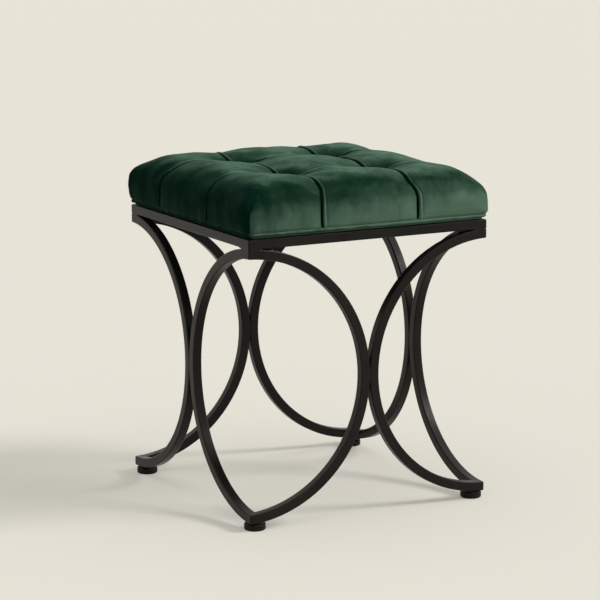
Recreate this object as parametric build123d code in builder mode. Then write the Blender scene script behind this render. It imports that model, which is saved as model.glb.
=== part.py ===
from build123d import *
import os
from math import sqrt

# Square accent stool: a tufted velvet cushion on a ring of square steel tube, carried by
# eight half-circle legs that stand back to back in pairs on the four sides.
# Millimetres, +Z up, front at -Y, origin on the floor under the middle of the seat.

os.makedirs("parts", exist_ok=True)

# Steel frame
frame_width = 388.0  # outside of the top ring, and of the legs at the corners
tube_side = 14.0
tube_wall = 1.2
tube_edge_radius = 1.8
bend_overrun = 2.5  # how far a leg's bend centre stands outside the corner
leg_gap = 0.3  # between the two legs of a side, where the weld holds them
leg_flat = 0.5  # dressed off the leg's back where it meets the ring and the foot
mitre_gap = 0.2  # open seam between two mitred tubes
weld_length = 24.0

# Corner plates under the seat and their bolts
plate_leg = 50.0
plate_tip = 6.0
plate_thickness = 3.0
bolt_inset = 18.0  # bolt axis to the inner faces of the ring
bolt_diameter = 6.0
bolt_clearance = 0.5  # on the diameter, in the plates and the lining
bolt_head_diameter = 10.5
bolt_head_height = 4.0
bolt_key_width = 4.0  # across the flats of the socket
bolt_key_depth = 2.4
washer_diameter = 14.0
washer_thickness = 1.4
tee_nut_barrel = 8.0
tee_nut_gap = 1.5  # the barrel stops this far above the board's underside
tee_nut_flange = 18.0
tee_nut_flange_thickness = 1.5
tee_nut_clearance = 0.2  # on the diameter, in the board
thread_clearance = 0.1  # on the diameter, between a thread and its nut or bush

# Levelling feet
pad_diameter = 31.0
pad_top_diameter = 29.0
pad_height = 9.2
pad_edge_radius = 2.2
pad_slope_drop = 1.0  # from the top of the pad down to its rim
stud_diameter = 6.0
stud_end_gap = 1.1  # the thread stops this far below the bush's top
stud_neck_diameter = 8.0
stud_flange_diameter = 14.0
stud_flange_thickness = 1.6
stud_flange_level = 2.0
collar_flats = 17.0
collar_height = 1.6
collar_edge = 0.5
running_clearance = 0.1  # on the diameter, and along the axis, where the stud turns
bush_diameter = 12.0
bush_length = 12.0
bush_clearance = 0.1  # on the radius, where the bush is let into the legs

# Seat build-up
lining_thickness = 0.5
lining_inset = 8.0
lining_corner_radius = 6.0
board_thickness = 12.0
board_clearance = 0.3
flange_width = 19.0  # velvet turned in under the board
cover_thickness = 1.0
foam_clearance = 0.3
band_overlap = 0.5  # the band's reach up into the cushion body
piping_diameter = 6.0
piping_lift = 3.2  # rail top to the underside of the piping
piping_overhang = 3.4  # piping past the ring's outer face
piping_clearance = 0.3
corner_radius = 14.0  # the cushion's upright corners

# Cushion outline: overhangs are past the ring's face, rises are above the ring's top
bulge_overhang = 5.0
bulge_rise = 30.0
crease_overhang = -1.5  # where a sewn crease draws the side in
corner_overhang = 2.5
shoulder_overhang = 3.0
shoulder_rise = 61.0
shoulder_radius = 20.0
side_panel_rise = 75.5
crown_rise = 77.5
crease_rise = 65.0
dome_rise = 84.0  # the large dome that draws the corners down
dome_corner_rise = 51.0
tuft_spacing = 148.0
tuft_depth = 10.0
tuft_radius = 28.0
tie_diameter = 2.0
tie_hole_clearance = 0.4
tie_head_diameter = 5.0
tie_head_thickness = 0.8
tie_head_gap = 0.2  # over the velvet in the pit
tie_washer_diameter = 8.0
tie_washer_gap = 0.4  # over the lining

# Staples under the board
staple_width = 10.0
staple_wire = 0.6
staple_leg = 6.0
staple_margin = 10.0  # outermost staples to the corner plates
staples_per_side = 9
staple_inset = 4.0  # staple row to the ring's inner face

# Levels and half widths that follow
half_frame = frame_width / 2
ring_inside = half_frame - tube_side
tube_middle = half_frame - tube_side / 2
bend_offset = half_frame + bend_overrun
bend_radius = bend_offset - leg_gap / 2  # outside of the bend
glide_height = pad_height + collar_height + 2 * running_clearance  # floor to the legs
bend_level = glide_height - leg_flat + bend_radius
rail_bottom = bend_level + bend_radius - leg_flat
rail_top = rail_bottom + tube_side
lining_top = rail_top + lining_thickness
board_bottom = lining_top + cover_thickness
board_top = board_bottom + board_thickness
piping_radius = piping_diameter / 2
piping_level = rail_top + piping_lift + piping_radius
piping_half = half_frame + piping_overhang - piping_radius
band_half = piping_half - piping_radius - piping_clearance
seam_level = piping_level + piping_radius + piping_clearance
corner_centre = half_frame + corner_overhang - corner_radius
board_half = band_half - cover_thickness - board_clearance
bolt_reach = ring_inside - bolt_inset
crease_reach = tuft_spacing / 2
tuft_level = rail_top + crease_rise - tuft_depth
dome_reach = sqrt(2) * (half_frame + corner_overhang)
dome_drop = dome_rise - dome_corner_rise
dome_radius = (dome_reach ** 2 + dome_drop ** 2) / (2 * dome_drop)
plate_bottom = rail_top - plate_thickness
foot_reach = ring_inside
collar_top = glide_height - running_clearance

corner_signs = {"front_left": (-1, -1), "front_right": (1, -1), "back_right": (1, 1), "back_left": (-1, 1)}
side_turns = {"front": 0, "right": 90, "back": 180, "left": 270}


def save(part, name):
    part.label = name
    export_step(part, f"parts/{name}.step")


def corner_points(reach):
    return [(sign_x * reach, sign_y * reach) for sign_x, sign_y in corner_signs.values()]


def tube_section():
    # Hollow square tube with rounded edges, on the current sketch
    RectangleRounded(tube_side, tube_side, tube_edge_radius)
    inner_side = tube_side - 2 * tube_wall
    RectangleRounded(inner_side, inner_side, tube_edge_radius / 2, mode=Mode.SUBTRACT)


# Upright mitre planes at the two ends of the front side, facing its middle
seam_shift = mitre_gap / 2 * sqrt(2)
left_mitre = Plane(origin=(-half_frame + seam_shift, -half_frame, 0), z_dir=(1, -1, 0))
right_mitre = Plane(origin=(half_frame - seam_shift, -half_frame, 0), z_dir=(-1, -1, 0))

# Ring of four mitred rails
with BuildPart() as rail:
    with BuildSketch(Plane.YZ):
        with Locations((-tube_middle, rail_bottom + tube_side / 2)):
            tube_section()
    extrude(amount=half_frame, both=True)
    split(bisect_by=left_mitre, keep=Keep.TOP)
    split(bisect_by=right_mitre, keep=Keep.TOP)

for side, turn in side_turns.items():
    with BuildPart() as turned_rail:
        add(rail.part, rotation=(0, 0, turn))
    save(turned_rail.part, f"rail_{side}")

# Left-hand leg of the front side: half a turn of tube about a level axis outside the corner,
# mitred at the corner, with its ends dressed flat under the ring and over the foot
with BuildPart() as left_leg:
    with BuildSketch(Plane.YZ.offset(-bend_offset)):
        with Locations((-tube_middle, bend_level + bend_radius - tube_side / 2)):
            tube_section()
    revolve(axis=Axis((-bend_offset, 0, bend_level), (0, 1, 0)), revolution_arc=180)
    split(bisect_by=left_mitre, keep=Keep.TOP)
    split(bisect_by=Plane.XY.offset(rail_bottom), keep=Keep.BOTTOM)
    split(bisect_by=Plane.XY.offset(glide_height), keep=Keep.TOP)
    with BuildSketch(Plane.XY.offset(glide_height)):
        with Locations((-foot_reach, -foot_reach)):
            Circle(bush_diameter / 2 + bush_clearance)
    extrude(amount=bush_length + bush_clearance, mode=Mode.SUBTRACT)

with BuildPart() as right_leg:
    mirror(left_leg.part, about=Plane.YZ)

# Each leg is named for its side and for the corner of that side where it stands
leg_ends = {"front": ("left", "right"), "right": ("front", "back"),
            "back": ("right", "left"), "left": ("back", "front")}
for side, ends in leg_ends.items():
    for end, leg in zip(ends, (left_leg, right_leg)):
        with BuildPart() as turned_leg:
            add(leg.part, rotation=(0, 0, side_turns[side]))
        save(turned_leg.part, f"leg_{side}_{end}")

# Weld between the two legs of a side: it fills the gap where their backs meet, with sides
# that touch the bends at its middle and at its two ends
weld_half = weld_length / 2
weld_waist = leg_gap / 2
weld_end = weld_waist + bend_radius - sqrt(bend_radius ** 2 - weld_half ** 2)
weld_depth = tube_side - 2 * tube_edge_radius
with BuildPart() as weld:
    with BuildSketch(Plane.XZ.offset(tube_middle)):
        with BuildLine():
            Polyline((-weld_end, bend_level - weld_half), (weld_end, bend_level - weld_half),
                     (weld_waist, bend_level - weld_half / 2), (weld_waist, bend_level + weld_half / 2),
                     (weld_end, bend_level + weld_half), (-weld_end, bend_level + weld_half),
                     (-weld_waist, bend_level + weld_half / 2), (-weld_waist, bend_level - weld_half / 2),
                     close=True)
        make_face()
    extrude(amount=weld_depth / 2, both=True)

with BuildPart() as leg_welds:
    for turn in side_turns.values():
        add(weld.part, rotation=(0, 0, turn))
save(leg_welds.part, "leg_welds")

# Corner plates, flush with the top of the ring, drilled for the seat bolts
with BuildPart() as corner_plate:
    with BuildSketch(Plane.XY.offset(plate_bottom)):
        with BuildLine():
            near = -ring_inside
            Polyline((near, near), (near + plate_leg, near), (near + plate_leg, near + plate_tip),
                     (near + plate_tip, near + plate_leg), (near, near + plate_leg), close=True)
        make_face()
        with Locations((-bolt_reach, -bolt_reach)):
            Circle((bolt_diameter + bolt_clearance) / 2, mode=Mode.SUBTRACT)
    extrude(amount=plate_thickness)

for corner, turn in zip(corner_signs, side_turns.values()):
    with BuildPart() as turned_plate:
        add(corner_plate.part, rotation=(0, 0, turn))
    save(turned_plate.part, f"corner_plate_{corner}")

# Threaded bushes let into the inner corners of the legs
for corner, (sign_x, sign_y) in corner_signs.items():
    with BuildPart() as bush:
        with BuildSketch(Plane.XY.offset(glide_height)):
            with Locations((sign_x * foot_reach, sign_y * foot_reach)):
                Circle(bush_diameter / 2)
                Circle((stud_diameter + thread_clearance) / 2, mode=Mode.SUBTRACT)
        extrude(amount=bush_length)
    save(bush.part, f"foot_bush_{corner}")

# Foot pads: a round puck with a soft lower edge, a sloping top and a pocket for the stud
pocket_bottom = stud_flange_level - running_clearance
pocket_top = stud_flange_level + stud_flange_thickness + running_clearance
for corner, (sign_x, sign_y) in corner_signs.items():
    foot = (sign_x * foot_reach, sign_y * foot_reach, 0)
    foot_axis = Axis(foot, (0, 0, 1))
    with BuildPart() as pad:
        with BuildSketch(Plane(origin=foot, x_dir=(1, 0, 0), z_dir=(0, -1, 0))) as outline:
            with BuildLine():
                pad_radius = pad_diameter / 2
                Polyline((0, 0), (pad_radius, 0), (pad_radius, pad_height - pad_slope_drop),
                         (pad_top_diameter / 2, pad_height), (0, pad_height), close=True)
            make_face()
            fillet(outline.vertices().sort_by_distance((pad_radius, 0))[0], pad_edge_radius)
            pocket_radius = (stud_flange_diameter + running_clearance) / 2
            with Locations((pocket_radius / 2, (pocket_bottom + pocket_top) / 2)):
                Rectangle(pocket_radius, pocket_top - pocket_bottom, mode=Mode.SUBTRACT)
            neck_radius = (stud_neck_diameter + running_clearance) / 2
            with Locations((neck_radius / 2, (pocket_top + pad_height) / 2)):
                Rectangle(neck_radius, pad_height - pocket_top, mode=Mode.SUBTRACT)
        revolve(axis=foot_axis)
    save(pad.part, f"glide_pad_{corner}")

    # Stud: flange held in the pad, hexagon collar for a spanner, thread up into the bush
    collar_bottom = pad_height + running_clearance
    with BuildPart() as stud:
        with BuildSketch(Plane(origin=foot).offset(stud_flange_level)):
            Circle(stud_flange_diameter / 2)
        extrude(amount=stud_flange_thickness)
        with BuildSketch(Plane(origin=foot).offset(stud_flange_level)):
            Circle(stud_neck_diameter / 2)
        extrude(amount=collar_top - stud_flange_level)
        with BuildSketch(Plane(origin=foot).offset(collar_bottom)):
            RegularPolygon(collar_flats / 2, 6, major_radius=False)
        extrude(amount=collar_top - collar_bottom)
        chamfer(stud.faces().sort_by(Axis.Z)[-1].edges(), collar_edge)
        with BuildSketch(Plane(origin=foot).offset(collar_bottom)):
            Circle(stud_diameter / 2)
        extrude(amount=glide_height + bush_length - stud_end_gap - collar_bottom)
        chamfer(stud.edges().sort_by(Axis.Z)[-1], collar_edge)
    save(stud.part, f"glide_stud_{corner}")


# Cushion body inside an inset: three puffed panels each way, seen in plan and in both upright
# directions and cut to one another under a wide dome, with a dimple at each tuft and a plain
# band at the foot
def side_point(along, out, turn):
    return Vector(along, -out).rotate(Axis.Z, turn)


def plan_outline(inset):
    side_half = half_frame + bulge_overhang - inset
    crease_half = half_frame + crease_overhang - inset
    corner_half = half_frame + corner_overhang - inset
    panel_middle = (crease_reach + corner_half) / 2
    with BuildLine() as panels:
        for turn in side_turns.values():
            left_crease = side_point(-crease_reach, crease_half, turn)
            right_crease = side_point(crease_reach, crease_half, turn)
            ThreePointArc(side_point(-corner_half, corner_half, turn),
                          side_point(-panel_middle, side_half, turn), left_crease)
            ThreePointArc(left_crease, side_point(0, side_half, turn), right_crease)
            ThreePointArc(right_crease, side_point(panel_middle, side_half, turn),
                          side_point(corner_half, corner_half, turn))
    make_face(panels.edges())


def upright_outline(outline, inset):
    foot = (band_half - inset, seam_level + inset)
    bulge = (half_frame + bulge_overhang - inset, rail_top + bulge_rise)
    shoulder = (half_frame + shoulder_overhang - inset, rail_top + shoulder_rise - inset)
    crease = (crease_reach, rail_top + crease_rise - inset)
    panel_top = ((crease_reach + shoulder[0]) / 2, rail_top + side_panel_rise - inset)
    crown = (0, rail_top + crown_rise - inset)
    with BuildLine() as panels:
        flank = ThreePointArc(foot, bulge, shoulder)
        side_panel = ThreePointArc(shoulder, panel_top, crease)
        mirror(flank, about=Plane.YZ)
        mirror(side_panel, about=Plane.YZ)
        ThreePointArc(crease, crown, (-crease[0], crease[1]))
        Line((-foot[0], foot[1]), foot)
    make_face(panels.edges())
    right_corner = outline.vertices().sort_by_distance(shoulder)[0]
    left_corner = outline.vertices().sort_by_distance((-shoulder[0], shoulder[1]))[0]
    fillet([left_corner, right_corner], shoulder_radius - inset)


def cushion_form(inset, floor_level):
    with BuildPart() as form:
        with BuildSketch(Plane.XY.offset(seam_level + inset)) as plan:
            plan_outline(inset)
            fillet(plan.vertices().sort_by_distance((0, 0))[-4:], corner_radius - inset)
        extrude(amount=crown_rise)
        for upright in (Plane.XZ, Plane.YZ):
            with BuildSketch(upright) as outline:
                upright_outline(outline, inset)
            extrude(amount=frame_width, both=True, mode=Mode.INTERSECT)
        with Locations((0, 0, rail_top + dome_rise - dome_radius)):
            Sphere(dome_radius - inset, mode=Mode.INTERSECT)
        with Locations(*[(x, y, tuft_level + tuft_radius) for x, y in corner_points(crease_reach)]):
            Sphere(tuft_radius + inset, mode=Mode.SUBTRACT)
        with BuildSketch(Plane.XY.offset(floor_level)):
            band_radius = band_half - corner_centre - inset
            RectangleRounded(2 * (band_half - inset), 2 * (band_half - inset), band_radius)
        extrude(amount=seam_level + 2 * inset + band_overlap - floor_level)
    return form.part


# Velvet cover: a thin skin over the whole cushion, turned in under the board
with BuildPart() as velvet_cover:
    add(cushion_form(0, lining_top))
    add(cushion_form(cover_thickness, board_bottom), mode=Mode.SUBTRACT)
    with BuildSketch(Plane.XY.offset(lining_top)):
        opening_half = band_half - flange_width
        RectangleRounded(2 * opening_half, 2 * opening_half, corner_radius)
        with Locations(*corner_points(bolt_reach)):
            Circle((bolt_diameter + bolt_clearance) / 2)
    extrude(amount=cover_thickness, mode=Mode.SUBTRACT)
    with BuildSketch(Plane.XY.offset(board_top)):
        with Locations(*corner_points(crease_reach)):
            Circle((tie_diameter + tie_hole_clearance) / 2)
    extrude(amount=crown_rise, mode=Mode.SUBTRACT)
save(velvet_cover.part, "velvet_cover")

# Foam block under the cover, pierced for the tuft ties
with BuildPart() as foam_block:
    add(cushion_form(cover_thickness + foam_clearance, board_bottom))
    split(bisect_by=Plane.XY.offset(board_top), keep=Keep.TOP)
    with BuildSketch(Plane.XY.offset(board_top)):
        with Locations(*corner_points(crease_reach)):
            Circle((tie_diameter + tie_hole_clearance) / 2)
    extrude(amount=crown_rise, mode=Mode.SUBTRACT)
save(foam_block.part, "foam_block")

# Plywood seat board, drilled for the tuft ties and counterbored for the tee nuts
with BuildPart() as seat_board:
    with BuildSketch(Plane.XY.offset(board_bottom)):
        RectangleRounded(2 * board_half, 2 * board_half, board_half - corner_centre)
        with Locations(*corner_points(crease_reach)):
            Circle((tie_diameter + tie_hole_clearance) / 2, mode=Mode.SUBTRACT)
    extrude(amount=board_thickness)
    with Locations(*[(x, y, board_top) for x, y in corner_points(bolt_reach)]):
        CounterBoreHole((tee_nut_barrel + tee_nut_clearance) / 2,
                        (tee_nut_flange + tee_nut_clearance) / 2, tee_nut_flange_thickness)
save(seat_board.part, "seat_board")

# Piping: a round cord along the seam, just above the ring
with BuildPart() as piping:
    with BuildLine(Plane.XY.offset(piping_level)) as piping_path:
        FilletPolyline(*corner_points(piping_half), radius=piping_half - corner_centre, close=True)
    with BuildSketch(Plane(origin=piping_path.line @ 0, z_dir=piping_path.line % 0)):
        Circle(piping_radius)
    sweep(path=piping_path.line)
save(piping.part, "piping")

# Black lining stretched under the board and held on the ring
with BuildPart() as lining:
    with BuildSketch(Plane.XY.offset(rail_top)):
        lining_half = half_frame - lining_inset
        RectangleRounded(2 * lining_half, 2 * lining_half, lining_corner_radius)
        with Locations(*corner_points(bolt_reach)):
            Circle((bolt_diameter + bolt_clearance) / 2, mode=Mode.SUBTRACT)
    extrude(amount=lining_thickness)
save(lining.part, "under_lining")

# Tuft ties: twine from each pit down through foam and board to a washer below
with BuildPart() as tuft_ties:
    with BuildSketch(Plane.XY.offset(board_bottom)):
        with Locations(*corner_points(crease_reach)):
            Circle(tie_diameter / 2)
    extrude(amount=tuft_level + tie_head_thickness - board_bottom)
    with BuildSketch(Plane.XY.offset(tuft_level + tie_head_gap)):
        with Locations(*corner_points(crease_reach)):
            Circle(tie_head_diameter / 2)
    extrude(amount=tie_head_thickness)
    with BuildSketch(Plane.XY.offset(lining_top + tie_washer_gap)):
        with Locations(*corner_points(crease_reach)):
            Circle(tie_washer_diameter / 2)
    extrude(amount=cover_thickness - tie_washer_gap)
save(tuft_ties.part, "tuft_ties")

# Seat bolts from below, their washers, and the tee nuts in the board
with BuildPart() as seat_bolts:
    head_top = plate_bottom - washer_thickness
    with BuildSketch(Plane.XY.offset(head_top)):
        with Locations(*corner_points(bolt_reach)):
            Circle(bolt_head_diameter / 2)
    extrude(amount=-bolt_head_height)
    with BuildSketch(Plane.XY.offset(head_top)):
        with Locations(*corner_points(bolt_reach)):
            Circle(bolt_diameter / 2)
    extrude(amount=board_top - tee_nut_flange_thickness - head_top)
    with BuildSketch(Plane.XY.offset(head_top - bolt_head_height)):
        with Locations(*corner_points(bolt_reach)):
            RegularPolygon(bolt_key_width / 2, 6, major_radius=False)
    extrude(amount=bolt_key_depth, mode=Mode.SUBTRACT)
save(seat_bolts.part, "seat_bolts")

with BuildPart() as seat_washers:
    with BuildSketch(Plane.XY.offset(plate_bottom)):
        with Locations(*corner_points(bolt_reach)):
            Circle(washer_diameter / 2)
            Circle((bolt_diameter + bolt_clearance) / 2, mode=Mode.SUBTRACT)
    extrude(amount=-washer_thickness)
save(seat_washers.part, "seat_washers")

with BuildPart() as tee_nuts:
    flange_bottom = board_top - tee_nut_flange_thickness
    with BuildSketch(Plane.XY.offset(flange_bottom)):
        with Locations(*corner_points(bolt_reach)):
            Circle(tee_nut_flange / 2)
    extrude(amount=tee_nut_flange_thickness)
    with BuildSketch(Plane.XY.offset(flange_bottom)):
        with Locations(*corner_points(bolt_reach)):
            Circle(tee_nut_barrel / 2)
    extrude(amount=board_bottom + tee_nut_gap - flange_bottom)
    with BuildSketch(Plane.XY.offset(board_top)):
        with Locations(*corner_points(bolt_reach)):
            Circle((bolt_diameter + thread_clearance) / 2)
    extrude(amount=-board_thickness, mode=Mode.SUBTRACT)
save(tee_nuts.part, "tee_nuts")

# Staples through lining and velvet into the board, a row inside each side of the ring
with BuildPart() as staple_row:
    staple_middle = -(ring_inside - staple_inset)
    last_staple = ring_inside - plate_leg - staple_margin
    staple_pitch = 2 * last_staple / (staples_per_side - 1)
    for number in range(staples_per_side):
        with BuildSketch(Plane.XZ.offset(-staple_middle - staple_wire / 2)):
            with Locations((number * staple_pitch - last_staple, rail_top - staple_wire)):
                Rectangle(staple_width, staple_leg, align=(Align.CENTER, Align.MIN))
                with Locations((0, staple_wire)):
                    Rectangle(staple_width - 2 * staple_wire, staple_leg, align=(Align.CENTER, Align.MIN),
                              mode=Mode.SUBTRACT)
        extrude(amount=staple_wire)

with BuildPart() as staples:
    for turn in side_turns.values():
        add(staple_row.part, rotation=(0, 0, turn))
save(staples.part, "staples")
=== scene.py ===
import bpy
import numpy as np
from mathutils import Matrix, Vector


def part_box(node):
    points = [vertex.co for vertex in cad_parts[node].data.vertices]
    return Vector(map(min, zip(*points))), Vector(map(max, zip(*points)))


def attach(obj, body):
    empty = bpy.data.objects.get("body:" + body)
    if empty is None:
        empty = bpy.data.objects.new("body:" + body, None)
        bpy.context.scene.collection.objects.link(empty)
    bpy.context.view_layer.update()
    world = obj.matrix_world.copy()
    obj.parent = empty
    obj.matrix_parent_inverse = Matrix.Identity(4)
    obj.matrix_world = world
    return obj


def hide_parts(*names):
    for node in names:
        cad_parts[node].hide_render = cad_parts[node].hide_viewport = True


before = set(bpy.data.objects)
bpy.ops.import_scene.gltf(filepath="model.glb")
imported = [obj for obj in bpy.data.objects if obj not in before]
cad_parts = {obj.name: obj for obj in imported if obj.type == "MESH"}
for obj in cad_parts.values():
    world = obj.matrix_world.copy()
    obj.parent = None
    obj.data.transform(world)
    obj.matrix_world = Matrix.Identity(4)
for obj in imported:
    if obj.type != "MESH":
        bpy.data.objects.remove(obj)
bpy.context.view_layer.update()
mm = 0.001
draw = np.random.default_rng(11)
scene = bpy.context.scene
scene.view_settings.view_transform = "Standard"
print("frame loaded:", len(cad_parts), "nodes")


class Settings(dict):
    # a dictionary whose values can be read as attributes too
    __getattr__ = dict.__getitem__


cornerSigns = {"front_left": (-1, -1), "front_right": (1, -1), "back_right": (1, 1), "back_left": (-1, 1)}
sides = ["front", "right", "back", "left"]  # from one to the next is a quarter turn about the upright axis

# levels and half widths read from the frame
railLow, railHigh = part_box("rail_front")
coverLow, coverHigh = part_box("velvet_cover")
pipingLow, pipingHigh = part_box("piping")
liningLow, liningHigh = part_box("under_lining")
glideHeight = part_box("leg_front_left")[0].z
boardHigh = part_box("seat_board")[1]
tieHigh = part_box("tuft_ties")[1]
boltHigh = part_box("seat_bolts")[1]
ringHalf = railHigh.x
ringTop = railHigh.z
railBottom = railLow.z
tubeSide = railHigh.z - railLow.z
tubeMiddle = ringHalf - tubeSide / 2


# Shape helpers

def bell(place, middle, width):
    # 1 at the middle, falling off on both sides as a Gaussian curve
    return np.exp(-((place - middle) / width) ** 2)


def bells(place, table):
    # sum of bells, each given by its height, middle and width
    return sum(height * bell(place, middle, width) for height, middle, width in table.values())


def boxed(wave, power):
    # a sine or cosine squared off: its size to a power below 1, with its sign
    return np.sign(wave) * np.abs(wave) ** power


def wayFrom(start, end, value):
    # how far a value is on the way from start to end, from 0 to 1
    return np.clip((value - start) / (end - start), 0, 1)


def crowdedPlaces(limit, density, crowds, samples=8001):
    # an odd number of places from -limit to limit: an even density, plus a bell for each crowd (place, width
    # and step) on both sides of 0, summed up along the way and divided evenly
    along = np.linspace(-limit, limit, samples)
    density = np.full_like(along, density)
    for place, width, step in crowds:
        for middle in (-place, place):
            density += bell(along, middle, width) / step
    total = np.hstack([[0], np.cumsum((density[1:] + density[:-1]) / 2 * np.diff(along))])
    return np.interp(np.linspace(0, total[-1], int(total[-1]) // 2 * 2 + 1), total, along)


def lumps(points, size, longest, shortest, waves=18):
    # sum of plane waves with drawn directions, phases and lengths between the longest and the shortest
    direction = draw.normal(size=(waves, 3))
    direction /= np.linalg.norm(direction, axis=1, keepdims=True)
    length = draw.uniform(shortest, longest, waves)
    phase = draw.uniform(0, 2 * np.pi, waves)
    turns = points @ (direction * (2 * np.pi / length)[:, None]).T
    return size * np.sin(turns + phase).sum(1) / np.sqrt(waves)


# Mesh helpers

def surface(x, y, z):
    # points from coordinates that may each vary in one direction only
    return np.stack(np.broadcast_arrays(x, y, z), -1)


def gridNumbers(rows, columns):
    return np.arange(rows * columns).reshape(rows, columns)


def gridFaces(numbers, closedRows=0, closedColumns=0):
    # quads between neighbours in an array of point numbers; a 1 joins the last row or column to the first
    numbers = np.pad(numbers, ((0, closedRows), (0, closedColumns)), "wrap")
    corners = [numbers[:-1, :-1], numbers[:-1, 1:], numbers[1:, 1:], numbers[1:, :-1]]
    return np.stack(corners, -1).reshape(-1, 4)


def fanFaces(ring, centre):
    # triangles from a closed ring of point numbers to one centre point
    return np.stack([ring, np.roll(ring, -1), np.full_like(ring, centre)], -1)


def turnedOut(points, blocks):
    # faces of a closed surface, turned over where the volume that they enclose comes out negative
    volume = 0.0
    for faces in blocks:
        first = points[faces[:, 0]]
        for k in range(1, faces.shape[1] - 1):
            volume += (first * np.cross(points[faces[:, k]], points[faces[:, k + 1]])).sum()
    return blocks if volume > 0 else [faces[:, ::-1] for faces in blocks]


def addedUp(quads, values, count):
    # values of the quads added up at their corner points
    total = np.zeros((count, values.shape[1]))
    for k in range(4):
        np.add.at(total, quads[:, k], values)
    return total


def vertexNormals(points, quads):
    # mean of the face normals round each point, a quad's normal being the cross product of its diagonals
    across = np.cross(points[quads[:, 2]] - points[quads[:, 0]], points[quads[:, 3]] - points[quads[:, 1]])
    normals = addedUp(quads, across, len(points))
    return normals / np.maximum(np.linalg.norm(normals, axis=1, keepdims=True), 1e-12)


def evenedOut(values, quads, share, passes):
    # values drawn towards the mean of the quads round each point, as far as the share there says
    near = quads[(share[quads] > 0).any(1)]
    count = np.maximum(np.bincount(near.reshape(-1), minlength=len(values)), 1)[:, None]
    for _ in range(passes):
        total = addedUp(near, values[near].mean(1), len(values))
        values = values + share[:, None] * (total / count - values)
    return values


def quarterTurned(points, turns):
    # points turned by whole quarter turns about the upright axis
    x, y, z = points.T
    for _ in range(turns):
        x, y = -y, x
    return surface(x, y, z)


def allFourSides(points):
    return np.vstack([quarterTurned(points, turns) for turns in range(4)])


def joined(parts):
    # several (points, blocks) as one, each one's point numbers moved past those before it
    starts = np.cumsum([0] + [len(points) for points, _ in parts])
    blocks = [faces + start for start, (_, part) in zip(starts, parts) for faces in part]
    return np.vstack([points for points, _ in parts]), blocks


def tubeGrid(start, rows, around):
    # the way along a tube, from start to 1, and the turn round it
    along = np.linspace(start, 1, rows)[:, None]
    turn = np.linspace(0, 2 * np.pi, around, endpoint=False)[None, :]
    return along, turn


def sweptTube(sections, ends=None):
    # closed tube through rings of points, shape (rings, points, 3), with a fan over each end
    rings, around, _ = sections.shape
    numbers = gridNumbers(rings, around)
    if ends is None:
        ends = [sections[0].mean(0), sections[-1].mean(0)]
    points = np.vstack([sections.reshape(-1, 3), ends])
    blocks = [gridFaces(numbers, closedColumns=1), fanFaces(numbers[0, ::-1], rings * around),
              fanFaces(numbers[-1], rings * around + 1)]
    return points, turnedOut(points, blocks)


def addPiece(name, points, blocks, material, slot, replaced=(), body="root", paintedLightAndMottle=None):
    # smooth mesh of points and blocks of faces, with its painted light and shade (and mottle) stored as a
    # point attribute where it has one
    mesh = bpy.data.meshes.new(name)
    mesh.from_pydata(points.tolist(), [], [face for faces in blocks for face in faces.tolist()])
    mesh.shade_smooth()
    mesh.materials.append(material)
    if paintedLightAndMottle is not None:
        mesh.attributes.new("paintedNapLight", "FLOAT", "POINT").data.foreach_set("value", paintedLightAndMottle.astype(np.float32))
    piece = bpy.data.objects.new(name, mesh)
    scene.collection.objects.link(piece)
    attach(piece, body)
    if replaced:
        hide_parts(*replaced)
    return piece


# Materials; an owner of nodes is a material or the world

def newMaterial(name, sockets):
    material = bpy.data.materials.new(name)
    material.use_nodes = True
    shader = material.node_tree.nodes["Principled BSDF"]
    for socket, value in sockets.items():
        shader.inputs[socket].default_value = value
    return material


def feed(owner, outputs, node="Principled BSDF"):
    for socket, output in outputs.items():
        owner.node_tree.links.new(output, owner.node_tree.nodes[node].inputs[socket])


def addNode(owner, kind, inputs, **settings):
    made = owner.node_tree.nodes.new(kind)
    for key, value in settings.items():
        setattr(made, key, value)
    for socket, value in inputs.items():
        if isinstance(value, bpy.types.NodeSocket):
            owner.node_tree.links.new(value, made.inputs[socket])
        else:
            made.inputs[socket].default_value = value
    return made


def mathNode(owner, operation, first, second):
    return addNode(owner, "ShaderNodeMath", {0: first, 1: second}, operation=operation).outputs[0]


def objectPlace(material):
    return addNode(material, "ShaderNodeTexCoord", {}).outputs["Object"]


def objectNoise(material, scale, detail=2.0, stretch=(1, 1, 1), roughness=0.5):
    # noise on object coordinates, scale in waves per metre, stretched by a mapping
    mapping = addNode(material, "ShaderNodeMapping", {"Vector": objectPlace(material), "Scale": stretch})
    noise = addNode(material, "ShaderNodeTexNoise", {"Vector": mapping.outputs["Vector"], "Scale": scale,
                                                     "Detail": detail, "Roughness": roughness})
    return noise.outputs["Fac"]


def ramp(material, value, stops):
    # colour ramp through (position, colour) stops
    made = addNode(material, "ShaderNodeValToRGB", {"Fac": value})
    colours = made.color_ramp.elements
    while len(colours) < len(stops):
        colours.new(0.5)
    for element, (position, colour) in zip(colours, stops):
        element.position = position
        element.color = (*colour, 1)
    return made.outputs["Color"]


def addBump(material, height, strength, distance):
    made = addNode(material, "ShaderNodeBump", {"Height": height, "Strength": strength, "Distance": distance})
    feed(material, {"Normal": made.outputs["Normal"]})


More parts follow.
